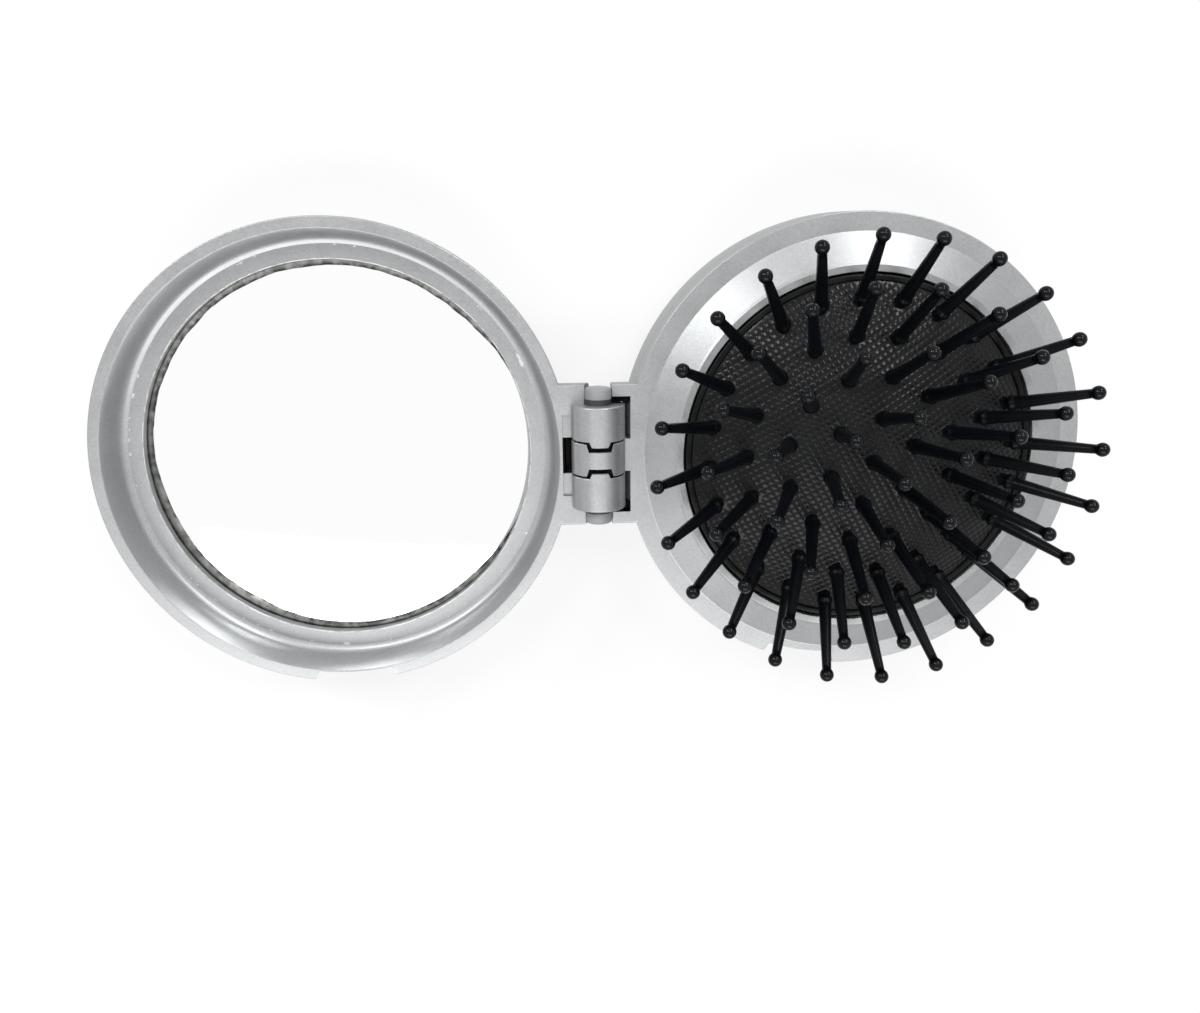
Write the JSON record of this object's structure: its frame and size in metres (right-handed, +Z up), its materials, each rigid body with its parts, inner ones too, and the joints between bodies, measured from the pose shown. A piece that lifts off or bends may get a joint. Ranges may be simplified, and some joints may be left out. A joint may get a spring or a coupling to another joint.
{
  "type": "folding hairbrush with mirror",
  "caption": "Compact round folding hairbrush: ball-tipped pins in a pop-up rubber cushion, hinged to a mirror lid, with a push button in the underside.",
  "frame": {"origin": "on the resting surface, directly below the hinge axis, with the brush open", "axes": "+Z up, brush half towards +X, open lid towards -X, hinge axis along Y"},
  "size_m": [0.144, 0.068, 0.036],
  "materials": {
    "silver_paint": "satin metallic silver paint on moulded plastic",
    "hinge_pin_plastic": "grey moulded pin end",
    "black_plastic": "black moulded plastic",
    "cushion_rubber": "black rubber with a fine woven grain",
    "button_plastic": "dark grey moulded plastic",
    "pin_nylon": "glossy black nylon",
    "mirror_glass": "silvered glass",
    "foam_tape": "grey foam tape"
  },
  "bodies": {
    "brush_half": {"brush_back_shell": "silver_paint", "brush_bezel": "silver_paint", "hinge_pin": "hinge_pin_plastic"},
    "lid": {"lid_bezel": "silver_paint", "lid_back_cover": "silver_paint", "mirror_glass": "mirror_glass", "mirror_foam_pad": "foam_tape", "upper_click_tab": "silver_paint", "lower_click_tab": "silver_paint"},
    "pad_carrier": {"carrier_ring": "black_plastic", "cushion": "cushion_rubber", "cushion_clamp_ring": "black_plastic", "push_button": "button_plastic"},
    "centre_pin": {"centre_pin": "pin_nylon"},
    "first_ring_pin_1": {"first_ring_pin_1": "pin_nylon"},
    "first_ring_pin_2": {"first_ring_pin_2": "pin_nylon"},
    "first_ring_pin_3": {"first_ring_pin_3": "pin_nylon"},
    "first_ring_pin_4": {"first_ring_pin_4": "pin_nylon"},
    "first_ring_pin_5": {"first_ring_pin_5": "pin_nylon"},
    "first_ring_pin_6": {"first_ring_pin_6": "pin_nylon"},
    "second_ring_pins_1": {"second_ring_pins_1": "pin_nylon"},
    "second_ring_pins_2": {"second_ring_pins_2": "pin_nylon"},
    "second_ring_pins_3": {"second_ring_pins_3": "pin_nylon"},
    "second_ring_pins_4": {"second_ring_pins_4": "pin_nylon"},
    "second_ring_pins_5": {"second_ring_pins_5": "pin_nylon"},
    "second_ring_pins_6": {"second_ring_pins_6": "pin_nylon"},
    "third_ring_pins_1": {"third_ring_pins_1": "pin_nylon"},
    "third_ring_pins_2": {"third_ring_pins_2": "pin_nylon"},
    "third_ring_pins_3": {"third_ring_pins_3": "pin_nylon"},
    "third_ring_pins_4": {"third_ring_pins_4": "pin_nylon"},
    "third_ring_pins_5": {"third_ring_pins_5": "pin_nylon"},
    "third_ring_pins_6": {"third_ring_pins_6": "pin_nylon"},
    "third_ring_pins_7": {"third_ring_pins_7": "pin_nylon"},
    "third_ring_pins_8": {"third_ring_pins_8": "pin_nylon"},
    "third_ring_pins_9": {"third_ring_pins_9": "pin_nylon"},
    "outer_ring_pins_1": {"outer_ring_pins_1": "pin_nylon"},
    "outer_ring_pins_2": {"outer_ring_pins_2": "pin_nylon"},
    "outer_ring_pins_3": {"outer_ring_pins_3": "pin_nylon"},
    "outer_ring_pins_4": {"outer_ring_pins_4": "pin_nylon"},
    "outer_ring_pins_5": {"outer_ring_pins_5": "pin_nylon"},
    "outer_ring_pins_6": {"outer_ring_pins_6": "pin_nylon"},
    "outer_ring_pins_7": {"outer_ring_pins_7": "pin_nylon"},
    "outer_ring_pins_8": {"outer_ring_pins_8": "pin_nylon"},
    "outer_ring_pins_9": {"outer_ring_pins_9": "pin_nylon"},
    "outer_ring_pins_10": {"outer_ring_pins_10": "pin_nylon"},
    "outer_ring_pins_11": {"outer_ring_pins_11": "pin_nylon"},
    "outer_ring_pins_12": {"outer_ring_pins_12": "pin_nylon"}
  },
  "joints": [
    {"name": "lid_hinge", "type": "hinge", "parent": "brush_half", "child": "lid", "pos_m": [0, 0, 0.014], "axis": [0, 1, 0], "range_deg": [0, 180], "deforming": ["cushion", "upper_click_tab", "lower_click_tab"]},
    {"name": "pad_pop", "type": "slide", "parent": "brush_half", "child": "pad_carrier", "axis": [0, 0, -1], "range_m": [0, 0.0095]},
    {"name": "centre_pin_sink", "type": "slide", "parent": "pad_carrier", "child": "centre_pin", "axis": [0, 0, -1], "range_m": [0, 0.0063]},
    {"name": "first_ring_1_tilt", "type": "hinge", "parent": "pad_carrier", "child": "first_ring_pin_1", "pos_m": [0.04455, 0.03604, 0.0159], "axis": [0.9839, -0.1788, 0], "range_deg": [0, 11]},
    {"name": "first_ring_2_tilt", "type": "hinge", "parent": "pad_carrier", "child": "first_ring_pin_2", "pos_m": [0.07249, 0.01235, 0.0159], "axis": [0.3371, -0.9415, 0], "range_deg": [0, 11]},
    {"name": "first_ring_3_tilt", "type": "hinge", "parent": "pad_carrier", "child": "first_ring_pin_3", "pos_m": [0.06594, -0.02369, 0.0159], "axis": [-0.6468, -0.7627, 0], "range_deg": [0, 11]},
    {"name": "first_ring_4_tilt", "type": "hinge", "parent": "pad_carrier", "child": "first_ring_pin_4", "pos_m": [0.03145, -0.03604, 0.0159], "axis": [-0.9839, 0.1788, 0], "range_deg": [0, 11]},
    {"name": "first_ring_5_tilt", "type": "hinge", "parent": "pad_carrier", "child": "first_ring_pin_5", "pos_m": [0.00351, -0.01235, 0.0159], "axis": [-0.3371, 0.9415, 0], "range_deg": [0, 11]},
    {"name": "first_ring_6_tilt", "type": "hinge", "parent": "pad_carrier", "child": "first_ring_pin_6", "pos_m": [0.01006, 0.02369, 0.0159], "axis": [0.6468, 0.7627, 0], "range_deg": [0, 11]},
    {"name": "second_ring_1_tilt", "type": "hinge", "parent": "pad_carrier", "child": "second_ring_pins_1", "pos_m": [0.03666, 0.02331, 0.0159], "axis": [0.9983, 0.0576, 0], "range_deg": [0, 23]},
    {"name": "second_ring_2_tilt", "type": "hinge", "parent": "pad_carrier", "child": "second_ring_pins_2", "pos_m": [0.05751, 0.01282, 0.0159], "axis": [0.549, -0.8358, 0], "range_deg": [0, 23]},
    {"name": "second_ring_3_tilt", "type": "hinge", "parent": "pad_carrier", "child": "second_ring_pins_3", "pos_m": [0.05886, -0.01049, 0.0159], "axis": [-0.4493, -0.8934, 0], "range_deg": [0, 23]},
    {"name": "second_ring_4_tilt", "type": "hinge", "parent": "pad_carrier", "child": "second_ring_pins_4", "pos_m": [0.03934, -0.02331, 0.0159], "axis": [-0.9983, -0.0576, 0], "range_deg": [0, 23]},
    {"name": "second_ring_5_tilt", "type": "hinge", "parent": "pad_carrier", "child": "second_ring_pins_5", "pos_m": [0.01849, -0.01282, 0.0159], "axis": [-0.549, 0.8358, 0], "range_deg": [0, 23]},
    {"name": "second_ring_6_tilt", "type": "hinge", "parent": "pad_carrier", "child": "second_ring_pins_6", "pos_m": [0.01714, 0.01049, 0.0159], "axis": [0.4493, 0.8934, 0], "range_deg": [0, 23]},
    {"name": "third_ring_1_tilt", "type": "hinge", "parent": "pad_carrier", "child": "third_ring_pins_1", "pos_m": [0.03868, 0.02166, 0.0159], "axis": [0.9995, -0.0314, 0], "range_deg": [0, 36]},
    {"name": "third_ring_2_tilt", "type": "hinge", "parent": "pad_carrier", "child": "third_ring_pins_2", "pos_m": [0.05244, 0.01616, 0.0159], "axis": [0.7455, -0.6665, 0], "range_deg": [0, 36]},
    {"name": "third_ring_3_tilt", "type": "hinge", "parent": "pad_carrier", "child": "third_ring_pins_3", "pos_m": [0.05945, 0.00309, 0.0159], "axis": [0.1426, -0.9898, 0], "range_deg": [0, 36]},
    {"name": "third_ring_4_tilt", "type": "hinge", "parent": "pad_carrier", "child": "third_ring_pins_4", "pos_m": [0.05642, -0.01142, 0.0159], "axis": [-0.527, -0.8499, 0], "range_deg": [0, 36]},
    {"name": "third_ring_5_tilt", "type": "hinge", "parent": "pad_carrier", "child": "third_ring_pins_5", "pos_m": [0.04477, -0.02059, 0.0159], "axis": [-0.95, -0.3123, 0], "range_deg": [0, 36]},
    {"name": "third_ring_6_tilt", "type": "hinge", "parent": "pad_carrier", "child": "third_ring_pins_6", "pos_m": [0.02995, -0.02012, 0.0159], "axis": [-0.9285, 0.3714, 0], "range_deg": [0, 36]},
    {"name": "third_ring_7_tilt", "type": "hinge", "parent": "pad_carrier", "child": "third_ring_pins_7", "pos_m": [0.0189, -0.01024, 0.0159], "axis": [-0.4726, 0.8813, 0], "range_deg": [0, 36]},
    {"name": "third_ring_8_tilt", "type": "hinge", "parent": "pad_carrier", "child": "third_ring_pins_8", "pos_m": [0.01679, 0.00443, 0.0159], "axis": [0.2045, 0.9789, 0], "range_deg": [0, 36]},
    {"name": "third_ring_9_tilt", "type": "hinge", "parent": "pad_carrier", "child": "third_ring_pins_9", "pos_m": [0.0246, 0.01703, 0.0159], "axis": [0.7859, 0.6184, 0], "range_deg": [0, 36]},
    {"name": "outer_ring_1_tilt", "type": "hinge", "parent": "pad_carrier", "child": "outer_ring_pins_1", "pos_m": [0.03966, 0.02322, 0.0159], "axis": [0.9974, -0.0715, 0], "range_deg": [0, 45]},
    {"name": "outer_ring_2_tilt", "type": "hinge", "parent": "pad_carrier", "child": "outer_ring_pins_2", "pos_m": [0.05105, 0.01928, 0.0159], "axis": [0.8281, -0.5606, 0], "range_deg": [0, 45]},
    {"name": "outer_ring_3_tilt", "type": "hinge", "parent": "pad_carrier", "child": "outer_ring_pins_3", "pos_m": [0.05894, 0.01017, 0.0159], "axis": [0.4368, -0.8996, 0], "range_deg": [0, 45]},
    {"name": "outer_ring_4_tilt", "type": "hinge", "parent": "pad_carrier", "child": "outer_ring_pins_4", "pos_m": [0.06122, -0.00166, 0.0159], "axis": [-0.0715, -0.9974, 0], "range_deg": [0, 45]},
    {"name": "outer_ring_5_tilt", "type": "hinge", "parent": "pad_carrier", "child": "outer_ring_pins_5", "pos_m": [0.05727, -0.01305, 0.0159], "axis": [-0.5606, -0.8281, 0], "range_deg": [0, 45]},
    {"name": "outer_ring_6_tilt", "type": "hinge", "parent": "pad_carrier", "child": "outer_ring_pins_6", "pos_m": [0.04817, -0.02094, 0.0159], "axis": [-0.8996, -0.4368, 0], "range_deg": [0, 45]},
    {"name": "outer_ring_7_tilt", "type": "hinge", "parent": "pad_carrier", "child": "outer_ring_pins_7", "pos_m": [0.03634, -0.02322, 0.0159], "axis": [-0.9974, 0.0715, 0], "range_deg": [0, 45]},
    {"name": "outer_ring_8_tilt", "type": "hinge", "parent": "pad_carrier", "child": "outer_ring_pins_8", "pos_m": [0.02495, -0.01928, 0.0159], "axis": [-0.8281, 0.5606, 0], "range_deg": [0, 45]},
    {"name": "outer_ring_9_tilt", "type": "hinge", "parent": "pad_carrier", "child": "outer_ring_pins_9", "pos_m": [0.01706, -0.01017, 0.0159], "axis": [-0.4368, 0.8996, 0], "range_deg": [0, 45]},
    {"name": "outer_ring_10_tilt", "type": "hinge", "parent": "pad_carrier", "child": "outer_ring_pins_10", "pos_m": [0.01478, 0.00166, 0.0159], "axis": [0.0715, 0.9974, 0], "range_deg": [0, 45]},
    {"name": "outer_ring_11_tilt", "type": "hinge", "parent": "pad_carrier", "child": "outer_ring_pins_11", "pos_m": [0.01872, 0.01305, 0.0159], "axis": [0.5606, 0.8281, 0], "range_deg": [0, 45]},
    {"name": "outer_ring_12_tilt", "type": "hinge", "parent": "pad_carrier", "child": "outer_ring_pins_12", "pos_m": [0.02783, 0.02094, 0.0159], "axis": [0.8996, 0.4368, 0], "range_deg": [0, 45]}
  ],
  "couplings": [
    {"joint": "pad_pop", "follows": "lid_hinge", "m_per_rad": 0.0030239},
    {"joint": "centre_pin_sink", "follows": "lid_hinge", "m_per_rad": 0.0020053},
    {"joint": "first_ring_1_tilt", "follows": "lid_hinge", "ratio": 0.061111},
    {"joint": "first_ring_2_tilt", "follows": "lid_hinge", "ratio": 0.061111},
    {"joint": "first_ring_3_tilt", "follows": "lid_hinge", "ratio": 0.061111},
    {"joint": "first_ring_4_tilt", "follows": "lid_hinge", "ratio": 0.061111},
    {"joint": "first_ring_5_tilt", "follows": "lid_hinge", "ratio": 0.061111},
    {"joint": "first_ring_6_tilt", "follows": "lid_hinge", "ratio": 0.061111},
    {"joint": "second_ring_1_tilt", "follows": "lid_hinge", "ratio": 0.12778},
    {"joint": "second_ring_2_tilt", "follows": "lid_hinge", "ratio": 0.12778},
    {"joint": "second_ring_3_tilt", "follows": "lid_hinge", "ratio": 0.12778},
    {"joint": "second_ring_4_tilt", "follows": "lid_hinge", "ratio": 0.12778},
    {"joint": "second_ring_5_tilt", "follows": "lid_hinge", "ratio": 0.12778},
    {"joint": "second_ring_6_tilt", "follows": "lid_hinge", "ratio": 0.12778},
    {"joint": "third_ring_1_tilt", "follows": "lid_hinge", "ratio": 0.2},
    {"joint": "third_ring_2_tilt", "follows": "lid_hinge", "ratio": 0.2},
    {"joint": "third_ring_3_tilt", "follows": "lid_hinge", "ratio": 0.2},
    {"joint": "third_ring_4_tilt", "follows": "lid_hinge", "ratio": 0.2},
    {"joint": "third_ring_5_tilt", "follows": "lid_hinge", "ratio": 0.2},
    {"joint": "third_ring_6_tilt", "follows": "lid_hinge", "ratio": 0.2},
    {"joint": "third_ring_7_tilt", "follows": "lid_hinge", "ratio": 0.2},
    {"joint": "third_ring_8_tilt", "follows": "lid_hinge", "ratio": 0.2},
    {"joint": "third_ring_9_tilt", "follows": "lid_hinge", "ratio": 0.2},
    {"joint": "outer_ring_1_tilt", "follows": "lid_hinge", "ratio": 0.25},
    {"joint": "outer_ring_2_tilt", "follows": "lid_hinge", "ratio": 0.25},
    {"joint": "outer_ring_3_tilt", "follows": "lid_hinge", "ratio": 0.25},
    {"joint": "outer_ring_4_tilt", "follows": "lid_hinge", "ratio": 0.25},
    {"joint": "outer_ring_5_tilt", "follows": "lid_hinge", "ratio": 0.25},
    {"joint": "outer_ring_6_tilt", "follows": "lid_hinge", "ratio": 0.25},
    {"joint": "outer_ring_7_tilt", "follows": "lid_hinge", "ratio": 0.25},
    {"joint": "outer_ring_8_tilt", "follows": "lid_hinge", "ratio": 0.25},
    {"joint": "outer_ring_9_tilt", "follows": "lid_hinge", "ratio": 0.25},
    {"joint": "outer_ring_10_tilt", "follows": "lid_hinge", "ratio": 0.25},
    {"joint": "outer_ring_11_tilt", "follows": "lid_hinge", "ratio": 0.25},
    {"joint": "outer_ring_12_tilt", "follows": "lid_hinge", "ratio": 0.25}
  ]
}
